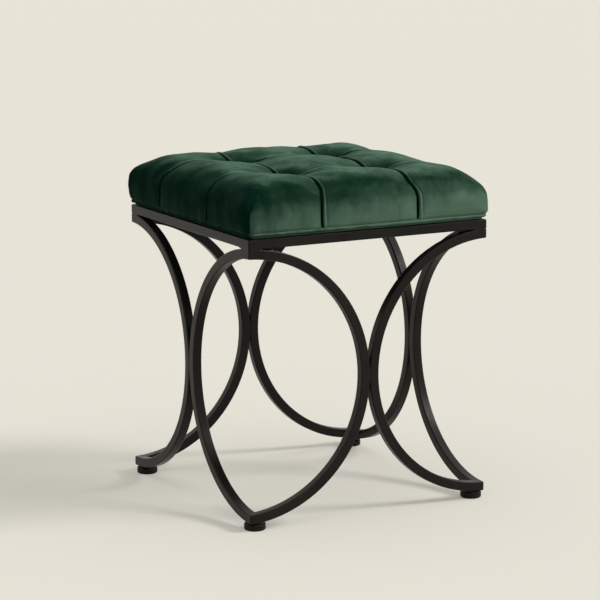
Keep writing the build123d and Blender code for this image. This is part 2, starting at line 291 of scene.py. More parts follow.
velvet = Settings(
    colours=[(0.0, (0.0022, 0.0215, 0.0125)), (0.3, (0.0140, 0.0440, 0.0255)),
             (0.62, (0.0500, 0.1040, 0.0700)), (1.0, (0.1300, 0.2300, 0.1650))],
    sockets={"Roughness": 0.95, "Specular IOR Level": 0.0, "Sheen Weight": 0.07,
             "Sheen Tint": (0.62, 0.86, 0.74, 1), "Sheen Roughness": 0.38},
    patch=dict(scale=34, detail=3.0, stretch=(1, 1, 0.8)),
    streak=dict(scale=95, detail=4.0, stretch=(1, 1, 0.22), roughness=0.6),
    pile=dict(scale=1500),
    shares={"patch": 0.60, "streak": 0.38, "pile": 0.16},  # of each noise in the lay of the pile
    bump=(0.25, 0.4 * mm),  # strength and height
)


def velvetMaterial(name, lift):
    # pile that lies lighter or darker in patches and upright streaks, on top of the piece's own attribute,
    # which holds painted light and shade
    material = newMaterial(name, velvet.sockets)
    paintedNapValue = addNode(material, "ShaderNodeAttribute", {}, attribute_name="paintedNapLight").outputs["Fac"]
    lay = mathNode(material, "ADD", paintedNapValue, lift)
    for layer, share in velvet.shares.items():
        noise = objectNoise(material, **velvet[layer])
        centred = mathNode(material, "SUBTRACT", noise, 0.5)
        lay = mathNode(material, "ADD", lay, mathNode(material, "MULTIPLY", centred, share))
    feed(material, {"Base Color": ramp(material, lay, velvet.colours)})
    addBump(material, noise, *velvet.bump)  # noise is the last layer, the pile
    return material


# powder coat with an orange peel, dusty rubber, plated steel with turning marks and stains, waxed twine
plated = dict(sockets={"Metallic": 1.0}, cloud=dict(scale=240, detail=5.0),
              grain=dict(scale=900, stretch=(0.15, 0.15, 1)), bump=(0.15, 0.1 * mm))
coats = dict(
    powderCoat=dict(sockets={"Specular IOR Level": 0.16}, cloud=dict(scale=18, detail=4.0),
                    colours=[(0.3, (0.0078, 0.0075, 0.0066)), (0.7, (0.0160, 0.0154, 0.0136))],
                    rough=(0.25, 0.36), grain=dict(scale=900), bump=(0.22, 0.25 * mm)),
    rubberBlack=dict(sockets={"Specular IOR Level": 0.14}, cloud=dict(scale=160, detail=4.0),
                     colours=[(0.35, (0.006, 0.006, 0.0055)), (0.75, (0.014, 0.0135, 0.012))],
                     rough=(0.45, 0.62), grain=dict(scale=2200), bump=(0.2, 0.2 * mm)),
    studSteel=dict(plated, rough=(0.38, 0.55),
                   colours=[(0.3, (0.05, 0.05, 0.05)), (0.7, (0.11, 0.11, 0.105))]),
    zincSteel=dict(plated, rough=(0.28, 0.46),
                   colours=[(0.3, (0.42, 0.43, 0.43)), (0.7, (0.66, 0.66, 0.64))]),
    greenTwine=dict(sockets={"Roughness": 0.7, "Specular IOR Level": 0.15}, cloud=dict(scale=1800),
                    colours=[(0.3, (0.010, 0.034, 0.021)), (0.7, (0.030, 0.075, 0.050))],
                    grain=dict(scale=1800), bump=(0.3, 0.2 * mm)),
)


def coatMaterial(name, sockets, cloud, colours, grain, bump, rough=None):
    # colour, and roughness where its two ends are given, along one soft noise; a finer noise as bump
    material = newMaterial(name, sockets)
    clouds = objectNoise(material, **cloud)
    feed(material, {"Base Color": ramp(material, clouds, colours)})
    if rough:
        ends = {"Value": clouds, "To Min": rough[0], "To Max": rough[1]}
        feed(material, {"Roughness": addNode(material, "ShaderNodeMapRange", ends).outputs["Result"]})
    addBump(material, objectNoise(material, **grain), *bump)
    return material


def plywoodMaterial(name):
    # birch plywood: grain streaks along the board and thin darker glue lines between the plies
    material = newMaterial(name, {"Roughness": 0.62})
    grain = objectNoise(material, scale=60, detail=5.0, stretch=(0.12, 1, 1))
    plies = addNode(material, "ShaderNodeTexWave", {"Vector": objectPlace(material), "Scale": 105.0},
                    bands_direction="Z").outputs["Fac"]
    wood = ramp(material, grain, [(0.3, (0.36, 0.24, 0.13)), (0.7, (0.55, 0.40, 0.24))])
    glue = ramp(material, plies, [(0.05, (0.45, 0.40, 0.34)), (0.25, (1, 1, 1))])
    mixed = addNode(material, "ShaderNodeMix", {"Factor": 1.0, 6: wood, 7: glue}, data_type="RGBA",
                    blend_type="MULTIPLY")
    feed(material, {"Base Color": mixed.outputs[2]})
    addBump(material, grain, strength=0.2, distance=0.2 * mm)
    return material


def liningMaterial(name):
    # black spun lining: crossed fibres and a dotted bond pattern
    material = newMaterial(name, {"Roughness": 0.9, "Specular IOR Level": 0.15})
    along = objectNoise(material, scale=700, detail=3.0, stretch=(0.08, 1, 1))
    across = objectNoise(material, scale=700, detail=3.0, stretch=(1, 0.08, 1))
    fibre = mathNode(material, "MAXIMUM", along, across)
    dots = {"Vector": objectPlace(material), "Scale": 620.0, "Randomness": 0.15}
    bond = addNode(material, "ShaderNodeTexVoronoi", dots).outputs["Distance"]
    height = mathNode(material, "ADD", fibre, bond)
    colour = ramp(material, height, [(0.4, (0.008, 0.008, 0.008)), (1.0, (0.030, 0.030, 0.031))])
    feed(material, {"Base Color": colour})
    addBump(material, height, strength=0.35, distance=0.2 * mm)
    return material


velvetSeat = velvetMaterial("velvetSeat", lift=0.0)
velvetCord = velvetMaterial("velvetCord", lift=-0.12)
powderCoat, rubberBlack, studSteel, zincSteel, greenTwine = [
    coatMaterial(name, **settings) for name, settings in coats.items()]
birchPly = plywoodMaterial("birchPly")
blackLining = liningMaterial("blackLining")
print("materials made")

# Steel frame: rails and bent legs as square tube with soft edges, mitred at the corners
tube = Settings(
    edgeRadius=1.8 * mm, arcSteps=6, support=0.35 * mm, seam=0.02 * mm,
    topBevel=0.75 * mm, footBevel=0.3 * mm, endSupport=2.2 * mm, railRows=9, legRows=121,
    bendOverrun=2.5 * mm, legGap=0.3 * mm,
)
bendOffset = ringHalf + tube.bendOverrun
bendRadius = bendOffset - tube.legGap / 2
bendLevel = (railBottom + glideHeight) / 2


def tubeProfile():
    # square with rounded edges about the origin: a quarter arc per corner, with a flat point at each end
    turn = np.linspace(0, np.pi / 2, tube.arcSteps)
    arc = tube.edgeRadius * np.stack([np.cos(turn), np.sin(turn)], -1) + tubeSide / 2 - tube.edgeRadius
    corner = np.vstack([arc[0] - [0, tube.support], arc, arc[-1] - [tube.support, 0]])
    x, y = corner.T
    return np.vstack([np.stack(pair, -1) for pair in ((x, y), (-y, x), (-x, -y), (y, -x))])


profile = tubeProfile()


def endRows(count, lowBevel, highBevel):
    # rows along a tube as share of the way, distance from the end and scale of the section: a bevelled rim
    # at each end and even steps between
    share = np.hstack([[0, 0], np.linspace(0, 1, count), [1, 1]])
    back = np.hstack([[0, lowBevel], np.full(count, tube.endSupport), [highBevel, 0]])
    inset = np.hstack([[lowBevel], np.zeros(count + 2), [highBevel]])
    return share[:, None], back[:, None], 1 - inset[:, None] / (tubeSide / 2)


def railSections():
    # section carried from mitre to mitre: at depth y an end lies at x = y, set back by the seam
    share, back, shrink = endRows(tube.railRows, tube.topBevel, tube.topBevel)
    y = -tubeMiddle + profile[:, 0] * shrink
    z = railBottom + tubeSide / 2 + profile[:, 1] * shrink
    end = y + tube.seam + back
    return surface(end * (1 - share) - end * share, y, z)


def legSections():
    # section turned about a level axis outside the corner, from mitre to mitre, flat under rail and over foot
    share, back, shrink = endRows(tube.legRows, tube.footBevel, tube.topBevel)
    radius = bendRadius - tubeSide / 2 + profile[:, 0] * shrink
    y = -tubeMiddle + profile[:, 1] * shrink
    limit = np.arccos((y + tube.seam + bendOffset) / radius) - back / radius
    turn = limit * (2 * share - 1)
    z = np.clip(bendLevel + radius * np.sin(turn), glideHeight, railBottom)
    return surface(-bendOffset + radius * np.cos(turn), y, z)


railPoints, railBlocks = sweptTube(railSections())
for turns, side in enumerate(sides):
    addPiece(f"railTube_{side}", quarterTurned(railPoints, turns), railBlocks, powderCoat,
             slot="frame_black", replaced=[f"rail_{side}"])

leftLeg = legSections()
rightLeg = leftLeg * [-1, 1, 1]
for turns, side in enumerate(sides):
    for end, sections in ((sides[turns - 1], leftLeg), (sides[(turns + 1) % 4], rightLeg)):
        points, blocks = sweptTube(sections)
        addPiece(f"legTube_{side}_{end}", quarterTurned(points, turns), blocks, powderCoat,
                 slot="frame_black", replaced=[f"leg_{side}_{end}"])
print("frame tubes made")

# Welds: a rippled bead in the groove where two legs meet, painted over
bead = Settings(
    length=26 * mm, width=3.0 * mm, sink=0.25 * mm, ripple=0.12 * mm, pitch=2.4 * mm,
    rows=61, around=24, endPower=6, endThin=0.0025, boxy=0.6, taper=0.1,
)


def beadSections():
    # round-ended upright lens between the legs, its two faces rippled along its length
    along, turn = tubeGrid(-1, bead.rows, bead.around)
    swell = np.sqrt(np.maximum(1 - along ** bead.endPower, bead.endThin))
    x = bead.width / 2 * swell * np.sin(turn)
    z = bendLevel + along * bead.length / 2
    depth = tubeSide / 2 - bead.sink + bead.ripple * np.cos(2 * np.pi * z / bead.pitch)
    y = -tubeMiddle + depth * boxed(np.cos(turn), bead.boxy) * (1 - bead.taper + bead.taper * swell)
    return surface(x, y, z)


beadPoints, beadBlocks = sweptTube(beadSections())
beads = [(quarterTurned(beadPoints, turns), beadBlocks) for turns in range(4)]
addPiece("legWeldBeads", *joined(beads), powderCoat, slot="frame_black", replaced=["leg_welds"])

# Corner welds: the groove between rail and leg filled flush from near the mitre to where the bend leaves the
# rail, and a second weld behind it
fill = Settings(
    rows=15, around=28, boxy=0.25, sink=0.12 * mm, start=1.2 * mm, length=19 * mm, reach=2.3 * mm,
    thin=([0, 0.06, 0.7, 1], [0.75, 1, 1, 0.45]), thinSink=0.5 * mm,
    innerFrom=15 * mm, innerTo=48 * mm, overlap=0.4 * mm, runOutFrom=0.6, runOut=0.95, runOutPower=1.5,
)


def fillSections():
    # rounded bar along the rail's underside, as deep as the tube, that thins out at its inner end
    along, turn = tubeGrid(0, fill.rows, fill.around)
    thin = np.interp(along, *fill.thin)
    z = railBottom + fill.reach * thin * boxed(np.sin(turn), fill.boxy)
    depth = tubeSide / 2 - fill.sink - fill.thinSink * (1 - thin)
    y = -tubeMiddle + depth * boxed(np.cos(turn), fill.boxy)
    return surface(y + fill.start + fill.length * along, y, z)


def innerFillSections():
    # rounded bar on the tube's inner half, from the rail's underside to the falling bend, that runs out
    along, turn = tubeGrid(0, fill.rows, fill.around)
    x = -ringHalf + fill.innerFrom + (fill.innerTo - fill.innerFrom) * along
    bend = bendLevel + np.sqrt(bendRadius ** 2 - (x + bendOffset) ** 2)
    way = wayFrom(fill.runOutFrom, 1, along)
    gone = fill.runOut * way ** fill.runOutPower
    low = railBottom - np.maximum(railBottom - bend, 0) * (1 - gone) - fill.overlap
    high = railBottom + fill.overlap
    z = (high + low) / 2 + (high - low) / 2 * boxed(np.sin(turn), fill.boxy)
    depth = tubeSide / 4 - fill.sink
    return surface(x, -tubeMiddle + tubeSide / 4 + depth * boxed(np.cos(turn), fill.boxy), z)


fills = []
for turns in range(4):
    for mirrored in (1, -1):
        for sections in (fillSections(), innerFillSections()):
            points, blocks = sweptTube(sections * [mirrored, 1, 1])
            fills.append((quarterTurned(points, turns), blocks))
addPiece("cornerWelds", *joined(fills), powderCoat, slot="frame_black")

# Foot pads: one profile turned about each foot's axis
pad = Settings(
    around=72, dish=0.3 * mm, edge=2.4 * mm, edgeSteps=7, edgeSupport=0.4 * mm,
    sole=[(0, 1), (0.5, 1), (0.72, 0.6), (0.8, 0)],  # shares of the radius and of the dish
    groove=0.35 * mm, grooveHalf=0.5 * mm, shoulder=1.0 * mm, softIn=0.1 * mm, soft=0.35 * mm,
    mouth=[(6.0, 0), (4.2, 0), (4.05, 0.2)],  # radius and depth below the top, in millimetres
    pocket=[(4.05, 3.8), (7.05, 3.7), (7.05, 1.9), (0, 1.9)],  # radius and height, in millimetres
)


def padProfile(low, high):
    # radius and height from the middle of the dished sole, round the soft edge and the grooved side, over the
    # top and into the pocket
    outer = (high.x - low.x) / 2
    top = high.z
    edge, soft, shoulder = pad.edge, pad.soft, pad.shoulder
    sole = [(outer * out, pad.dish * deep) for out, deep in pad.sole]
    sole.append((outer - edge - pad.edgeSupport, 0))
    turn = np.linspace(-np.pi / 2, 0, pad.edgeSteps)
    rim = [(outer - edge + edge * c, edge + edge * s) for c, s in zip(np.cos(turn), np.sin(turn))]
    middle = (edge + top - shoulder) / 2
    side = [(outer, middle - pad.grooveHalf), (outer - pad.groove, middle),
            (outer, middle + pad.grooveHalf), (outer - pad.softIn, top - shoulder),
            (outer - soft, top - soft), (outer - shoulder, top)]
    mouth = [(radius * mm, top - depth * mm) for radius, depth in pad.mouth]
    pocket = [(radius * mm, height * mm) for radius, height in pad.pocket]
    return np.array(sole + rim + side + mouth + pocket)


def latheAbout(outline, centreX, centreY):
    # outline turned about the upright axis that its two ends lie on
    turn = np.linspace(0, 2 * np.pi, pad.around, endpoint=False)
    radius, height = outline[1:-1].T[:, :, None]
    rings = surface(centreX + radius * np.cos(turn), centreY + radius * np.sin(turn), height)
    return sweptTube(rings, [[centreX, centreY, outline[0, 1]], [centreX, centreY, outline[-1, 1]]])


for corner in cornerSigns:
    padLow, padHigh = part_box(f"glide_pad_{corner}")
    middle = (padLow + padHigh) / 2
    points, blocks = latheAbout(padProfile(padLow, padHigh), middle.x, middle.y)
    addPiece(f"footPad_{corner}", points, blocks, rubberBlack, body=f"glide_pad_{corner}", slot="pad_black",
             replaced=[f"glide_pad_{corner}"])
print("welds and feet made")

# Tufted cushion
cushion = Settings(
    tieWasher=8 * mm,  # the tuft ties' washers, to find the tufts from their box
    crownLift=2.7 * mm, shoulderRun=65 * mm, shoulderFall=41.4 * mm, shoulderBlend=7.0,
    borderTurn=np.radians(50),  # where the top grid ends on the shoulder and the side rows begin
    cornerFall=11.4 * mm, cornerEase=0.24, cornerPower=4.0,
    settled={"front_right": 3.1 * mm, "back_right": 1.2 * mm},
    drift={"front": (0.6 * mm, -3.4 * mm), "right": (-4.5 * mm, 3.0 * mm),
           "back": (2.6 * mm, -2.2 * mm), "left": (10.5 * mm, 6.8 * mm)}, driftWidth=42 * mm,
    plain=3.4 * mm, fine=0.42 * mm, spread=5.5 * mm, endFine=1.6 * mm, endSpread=9 * mm,
    puffDepth=3.8 * mm, puffHalf=74 * mm, puffPower=2.6, edgeShare=0.7, edgeFrom=10 * mm,
    pitDepth=25 * mm, pitLimit=19 * mm, pitWidth=26 * mm, pitPower=1.25,
    pleat={  # height, place and width across a crease: sewn groove, rounded lip and a faint second line
        "groove": (-4.6 * mm, 0, 2.2 * mm), "lip": (1.7 * mm, 3.7 * mm, 1.0 * mm),
        "line": (-0.5 * mm, 7.0 * mm, 1.0 * mm)},
    lipLean=1.4 * mm, leanPlace=2.0 * mm, leanWidth=1.5 * mm, tuftEase=0.6, tuftEaseWidth=6 * mm,
    tuckDepth=1.1 * mm, tuck={"fold": (-1, 0, 1.3 * mm), "lip": (0.55, 3.4 * mm, 1.6 * mm)},
    roundFrom=110 * mm, cornerTop=24 * mm, cornerSide=18 * mm, cornerSeam=8.6 * mm, cornerFade=2 * mm,
    cornerDown=(0.5, 0.999),  # how far down the side the corner radius is cornerSide, then cornerSeam
    turnRows=12, plumbRows=5, turnInRows=12, hugRows=8,
    plumbRise=24 * mm, turnInCrowd=1.8, turnInPower=6.0, pipingClearance=0.15 * mm,
    seamFrom=np.radians(52), seamTo=np.radians(135),
    shares={  # against the share of the way down the side
        "crease": ([0.15, 0.6, 0.93, 1], [1, 0.9, 0.7, 0]), "tuck": ([0.45, 0.7, 0.95, 1], [0, 1, 1, 0]),
        "pleat": ([0.9, 0.99, 1], [1, 0.7, 0]), "sewn": ([0.8, 0.97], [0, 1])},
    bandTurn=[(0, 0.8), (0.3, 0.2), (1, 0)],  # in and up at the band's lower edge, in millimetres
    flangeWidth=19 * mm, cloth=0.9 * mm, clothTurn=0.3 * mm, underLift=0.05 * mm,
    boardGap=0.35 * mm, boardLift=0.15 * mm, boardShares=(0.75, 0.5, 0.25, 0.05),
    lumps=(0.55 * mm, 75 * mm, 28 * mm), lumpShare=1.4,
    fuller={"back_left": (2.6 * mm, 7.5 * mm)}, fullerWidth=29 * mm,  # fuller corners: push out and lift
    evenWidth=10 * mm, evenFrom=0.03, evenPasses=40,
)
tuftReach = tieHigh.x - cushion.tieWasher / 2
sideHalf = coverHigh.x
crown = coverHigh.z + cushion.crownLift
pipingRadius = (pipingHigh.z - pipingLow.z) / 2
pipingHalf = pipingHigh.x - pipingRadius
pipingLevel = (pipingHigh.z + pipingLow.z) / 2
hugRadius = pipingRadius + cushion.pipingClearance
seamLevel = pipingLevel + hugRadius * np.sin(cushion.seamFrom)
bandHalf = pipingHalf - hugRadius
flatHalf = sideHalf - cushion.shoulderRun
borderDrop = cushion.shoulderFall * (1 - np.cos(cushion.borderTurn))
clothBend = np.hypot(cushion.shoulderRun, cushion.shoulderFall) / np.sqrt(2)  # mean shoulder radius


def topLevel(x, y):
    # crown less an elliptical shoulder to each side, the two joined by a power mean; towards a corner the
    # shoulder is shallower and the whole top falls away, and some corners have settled
    nearCorner = np.abs(x * y / sideHalf ** 2) ** cushion.cornerPower
    fall = cushion.shoulderFall * (1 - cushion.cornerEase * nearCorner)
    power = cushion.shoulderBlend
    shoulder = 0
    for place in (x, y):
        share = np.clip((np.abs(place) - flatHalf) / cushion.shoulderRun, 0, 1)
        shoulder = shoulder + (fall * (1 - np.sqrt(1 - share ** 2))) ** power
    level = crown - shoulder ** (1 / power) - cushion.cornerFall * nearCorner
    for corner, depth in cushion.settled.items():
        signX, signY = cornerSigns[corner]
        level = level - depth * (1 + signX * x / sideHalf) * (1 + signY * y / sideHalf) / 4
    return level


def driftedPlan(x, y):
    # a crease wanders off its tufts' line on the way out to a side, and the cloth beside it goes along
    shifts = {"front": (x, -y), "back": (x, y), "left": (y, -x), "right": (y, x)}
    moved = {}
    for side, (across, outward) in shifts.items():
        way = wayFrom(tuftReach, sideHalf, outward)
        moved[side] = 0
        for place, drift in zip((-tuftReach, tuftReach), cushion.drift[side]):
            beside = bell(across, place, cushion.driftWidth)
            moved[side] = moved[side] + drift * beside * way * way * (3 - 2 * way)
    return x + moved["front"] + moved["back"], y + moved["left"] + moved["right"]


def roundedPlan(x, y, half, radius):
    # the corner square of a plan, beyond half - radius both ways, squeezed onto a quarter disc
    middle = half - radius
    u, v = [np.clip((np.abs(place) - middle) / np.maximum(radius, 1e-9), 0, 1) for place in (x, y)]
    newX = np.where(u > 0, middle + radius * u * np.sqrt(1 - v ** 2 / 2), np.abs(x))
    newY = np.where(v > 0, middle + radius * v * np.sqrt(1 - u ** 2 / 2), np.abs(y))
    return np.sign(x) * newX, np.sign(y) * newY


def flankRows():
    # half width, height, corner radius and shares of crease, tuck, pleat and seam down the side: the end of
    # the elliptical shoulder, a plumb stretch, a turn in to the piping and an arc that hugs its top
    run, fall, hugged = cushion.shoulderRun, cushion.shoulderFall, cushion.hugRows
    turn = np.linspace(cushion.borderTurn, np.pi / 2, cushion.turnRows + 1)[1:]
    plumbEnd = ringTop + cushion.plumbRise
    plumb = np.linspace(crown - fall, plumbEnd, cushion.plumbRows + 1)[1:]
    turnIn = 1 - (1 - np.linspace(0, 1, cushion.turnInRows + 1)[1:]) ** cushion.turnInCrowd
    hug = np.linspace(cushion.seamFrom, cushion.seamTo, hugged + 1)[1:]
    seamOut = pipingHalf + hugRadius * np.cos(cushion.seamFrom)
    drawnIn = sideHalf - (sideHalf - seamOut) * turnIn ** cushion.turnInPower
    rows = [(flatHalf + run * np.sin(turn), crown - fall * (1 - np.cos(turn))),
            (np.full(cushion.plumbRows, sideHalf), plumb),
            (drawnIn, plumbEnd - (plumbEnd - seamLevel) * turnIn),
            (pipingHalf + hugRadius * np.cos(hug), pipingLevel + hugRadius * np.sin(hug))]
    out, level = [np.hstack(part) for part in zip(*rows)]
    down = np.hstack([(crown - level[:-hugged]) / (crown - seamLevel), np.ones(hugged)])
    seamCorner = cushion.cornerSeam + np.minimum(out, seamOut) - bandHalf
    corner = np.interp(down, [borderDrop / (crown - seamLevel), *cushion.cornerDown],
                       [cushion.cornerTop, cushion.cornerSide, seamCorner[-hugged - 1]])
    corner[-hugged:] = seamCorner[-hugged:]
    shares = {key: np.interp(down, *table) for key, table in cushion.shares.items()}
    shares["crease"] = cushion.edgeShare * shares["crease"]
    return out, level, corner, shares


def underRows():
    # band behind the piping, cloth turned in under the board and back round its edge, then in over the board
    low = coverLow.z + cushion.underLift
    high = low + cushion.cloth
    turn = cushion.clothTurn
    turnedIn = bandHalf - cushion.flangeWidth
    boardEdge = boardHigh.x + cushion.boardGap
    boardTop = boardHigh.z + cushion.boardLift
    rows = [(bandHalf - inward * mm, low + upward * mm) for inward, upward in cushion.bandTurn]
    rows += [(turnedIn + 2 * turn, low), (turnedIn, low + turn), (turnedIn, high - turn),
             (turnedIn + 2 * turn, high), (boardEdge - turn, high), (boardEdge, high + turn),
             (boardEdge, boardTop - turn), (boardEdge - turn, boardTop)]
    rows += [(boardEdge * share, boardTop) for share in cushion.boardShares]
    out, level = np.array(rows).T
    inward = bandHalf - np.maximum(out, bandHalf - cushion.cornerFade)
    corner = np.minimum(cushion.cornerSeam - inward, out / 2)
    return out, level, corner


# painted light and shade on the velvet: painted shade on faces turned to -X, less on faces turned to +X, in a
# band over the shoulder, on gentle slopes to the front, in grooves, pits and down the corners; painted
# highlight towards +X, towards the seam, on flat crests and on fold lips
paintedNapLight = Settings(
    open=0.75, againstPile=0.73, withPile=0.20, turnFrom=0.40, turnTo=0.92,
    along=0.05, alongSide=0.16, foot=0.30, footRise=46 * mm,
    shoulder=0.62, shoulderTilt=0.77, above=0.17, below=0.46, onwardShare=0.6,
    uneven=(0.06, 110 * mm, 35 * mm), lipTurned=0.75, brushed=0.45, brushedWidth=17 * mm,
    # painted shade per metre of groove and pit depth, painted highlight per metre of lip height
    groove=460, lip=210, pit=22,  # darker per metre of groove and pit, paler per metre of lip
    corner=0.16, cornerWidth=9 * mm, cornerFrom=22 * mm, cornerRun=20 * mm,
    # painted shade on gentle slopes to the front, painted highlight on flat crests
    lee=0.62, leeX=0.2, leeY=0.98, leeFrom=0.70, leeTo=0.90,  # gentle slopes to the front are darker
    crest=0.12, crestFrom=0.84, crestTo=0.97,
)


def paintedNapShading(normals, points, uneven=0, brushed=0):
    # painted light and shade on the pile: painted shade on faces turned to -X, less on faces turned to +X, on
    # gentle slopes to the front and in a band over the shoulder (eased beside the creases across X); painted
    # highlight on flat crests, towards +X and towards the seam
    normalX, normalY, normalZ = normals.T
    steep = np.hypot(normalX, normalY)
    heading = normalX / np.maximum(steep, 1e-6)
    turned = wayFrom(paintedNapLight.turnFrom, paintedNapLight.turnTo, -heading)
    against = steep * turned * turned * (3 - 2 * turned)
    tilt = normalZ + uneven - paintedNapLight.shoulderTilt
    band = bell(tilt, 0, np.where(tilt > 0, paintedNapLight.above, paintedNapLight.below))
    onward = np.maximum(normalX, 0)
    sideways = np.maximum(np.abs(normalY), paintedNapLight.onwardShare * onward)
    shoulder = band * sideways * (1 - paintedNapLight.brushed * brushed)
    low = np.clip(1 - (points[:, 2] - seamLevel) / paintedNapLight.footRise, 0, 1)
    leeward = np.maximum(-(paintedNapLight.leeX * normalX + paintedNapLight.leeY * normalY), 0)
    leeward = leeward * wayFrom(paintedNapLight.leeFrom, paintedNapLight.leeTo, normalZ)
    crest = wayFrom(paintedNapLight.crestFrom, paintedNapLight.crestTo, normalZ)
    return (paintedNapLight.open - paintedNapLight.againstPile * against - paintedNapLight.withPile * onward - paintedNapLight.lee * leeward
            + paintedNapLight.crest * crest
            + (paintedNapLight.along + paintedNapLight.alongSide * np.abs(normalY)) * points[:, 0] / sideHalf
            - paintedNapLight.shoulder * shoulder + paintedNapLight.foot * low)


def cushionForm(steps):
    # a grid on the flat cloth, bent over the four shoulders, then rows hung from its border, then rows under
    count = len(steps)
    turn = np.maximum(np.abs(steps) - flatHalf, 0) / clothBend
    reach = np.sign(steps) * (np.minimum(np.abs(steps), flatHalf) + cushion.shoulderRun * np.sin(turn))
    borderHalf = reach[-1]
    plainX, plainY = np.meshgrid(reach, reach, indexing="ij")
    driftX, driftY = driftedPlan(plainX, plainY)
    contour = np.maximum(np.abs(driftX), np.abs(driftY))
    way = wayFrom(cushion.roundFrom, borderHalf, contour)
    topX, topY = roundedPlan(driftX, driftY, contour, cushion.cornerTop * way * (2 - way))
    topZ = topLevel(driftX, driftY)
    numbers = gridNumbers(count, count)
    loop = np.hstack([numbers[:-1, 0], numbers[-1, :-1], numbers[:0:-1, -1], numbers[0, :0:-1]])
    loopX, loopY, loopZ = [values.reshape(-1)[loop] for values in (driftX, driftY, topZ)]

    flankOut, flankLevel, flankCorner, flankShares = flankRows()
    underOut, underLevel, underCorner = underRows()
    out = np.hstack([flankOut, underOut])[:, None]
    corner = np.hstack([flankCorner, underCorner])[:, None]
    rowX, rowY = roundedPlan(loopX * out / borderHalf, loopY * out / borderHalf, out, corner)
    share = (flankLevel - seamLevel) / (crown - borderDrop - seamLevel)
    rowZ = np.vstack([seamLevel + (loopZ - seamLevel) * share[:, None], underLevel[:, None] + 0 * loopX])
    points = np.vstack([surface(topX, topY, topZ).reshape(-1, 3), surface(rowX, rowY, rowZ).reshape(-1, 3),
                        [[0, 0, underLevel[-1]]]])

    around = len(loop)
    rings = np.vstack([loop, count * count + gridNumbers(len(out), around)])
    quads = np.vstack([gridFaces(numbers), gridFaces(rings, closedColumns=1)])
    blocks = turnedOut(points, [quads, fanFaces(rings[-1], len(points) - 1)])

    # the same flat-cloth coordinates all the way down a column, so that a crease runs on over the shoulder
    flatX, flatY = [np.hstack([plain.reshape(-1), np.tile(plain.reshape(-1)[loop], len(out)), [0]])
                    for plain in (plainX, plainY)]
    acrossX, acrossY = [flat - np.where(flat < 0, -tuftReach, tuftReach) for flat in (flatX, flatY)]
    outwards = np.maximum(np.abs(plainX), np.abs(plainY)).reshape(-1)
    creases = np.interp(outwards, [tuftReach + cushion.edgeFrom, borderHalf], [1, cushion.edgeShare])
    ends = {"crease": (creases, 0), "pleat": (1, 0), "tuck": (0, 0), "sewn": (0, 1)}  # on top, underneath
    fields = Settings(acrossX=acrossX, acrossY=acrossY, fromTuft=np.hypot(acrossX, acrossY),
                      fromCorner=np.abs(flatY) - np.abs(flatX))
    for key, (onTop, underneath) in ends.items():
        fields[key] = np.hstack([onTop + 0 * creases, np.repeat(flankShares[key], around),
                                 np.full(len(underOut) * around + 1, underneath)])

    # shallow puffs between the creases and a round pit at each tuft
    depth = 0
    for across in (acrossX, acrossY):
        valley = np.maximum(1 - np.abs(across) / cushion.puffHalf, 0) ** cushion.puffPower
        depth = depth + cushion.puffDepth * fields.crease * valley
    pit = np.exp(-(fields.fromTuft / cushion.pitWidth) ** cushion.pitPower)
    limit = cushion.pitLimit
    fields["pit"] = limit * np.tanh(cushion.pitDepth / limit * fields.crease * pit)
    points = points - vertexNormals(points, blocks[0]) * (depth + fields.pit)[:, None]
    return points, blocks, fields


# Cloth run: a coarse copy of the cover is blown up while its creases, tufts, corners and seam are held
settle = Settings(
    steps=41, frames=20, cap=6 * mm, holdSteps=10,
    creaseHold=6 * mm, creaseGain=2, tuftHold=12 * mm, cornerHold=9 * mm,
    cloth=dict(quality=5, vertex_group_mass="held", tension_stiffness=6.0, compression_stiffness=6.0,
               bending_stiffness=0.1, use_pressure=True, uniform_pressure_force=150),
)


def heldShare(fields):
    # 1 where the cloth is sewn or pulled down, falling off beside that as a bell curve
    crease = np.maximum(bell(fields.acrossX, 0, settle.creaseHold),
                        bell(fields.acrossY, 0, settle.creaseHold))
    crease = crease * np.minimum(fields.crease * settle.creaseGain, 1)
    held = np.maximum(crease, bell(fields.fromTuft, 0, settle.tuftHold))
    onSide = np.minimum(fields.sewn + fields.tuck, 1)
    held = np.maximum(held, bell(fields.fromCorner, 0, settle.cornerHold) * onSide)
    return np.maximum(held, fields.sewn)


def blownCover(points, quads, held):
    # where the points of a closed cover go in a short cloth run without gravity
    mesh = bpy.data.meshes.new("coverCloth")
    mesh.from_pydata(points.tolist(), [], quads.tolist())
    cover = bpy.data.objects.new("coverCloth", mesh)
    scene.collection.objects.link(cover)
    group = cover.vertex_groups.new(name="held")
    last = settle.holdSteps
    levels = np.rint(held * last).astype(int)
    for level in range(1, last + 1):
        group.add(np.nonzero(levels == level)[0].tolist(), level / last, "REPLACE")
    cloth = cover.modifiers.new("cloth", "CLOTH")
    for key, value in settle.cloth.items():
        setattr(cloth.settings, key, value)
    cloth.settings.effector_weights.gravity = 0
    cloth.collision_settings.use_collision = False
    cloth.point_cache.frame_end = settle.frames
    for number in range(1, settle.frames + 1):
        scene.frame_set(number)
    shown = cover.evaluated_get(bpy.context.evaluated_depsgraph_get())
    moved = np.empty(len(points) * 3)
    shown.data.vertices.foreach_get("co", moved)
    scene.frame_set(1)
    bpy.data.objects.remove(cover)
    bpy.data.meshes.remove(mesh)
    return moved.reshape(-1, 3)


def smoothWeights(places, nodes):
    # weights that carry values at evenly spaced nodes to places between them along a Catmull-Rom cubic
    way = (places - nodes[0]) / (nodes[1] - nodes[0])
    start = np.clip(np.floor(way).astype(int), 0, len(nodes) - 2)
    f = way - start
    shares = [f * (-0.5 + f * (1 - 0.5 * f)), 1 + f * f * (1.5 * f - 2.5),
              f * (0.5 + f * (2 - 1.5 * f)), f * f * (0.5 * f - 0.5)]
    weights = np.zeros((len(places), len(nodes)))
    for k, share in enumerate(shares):
        np.add.at(weights, (np.arange(len(places)), np.clip(start + k - 1, 0, len(nodes) - 1)), share)
    return weights


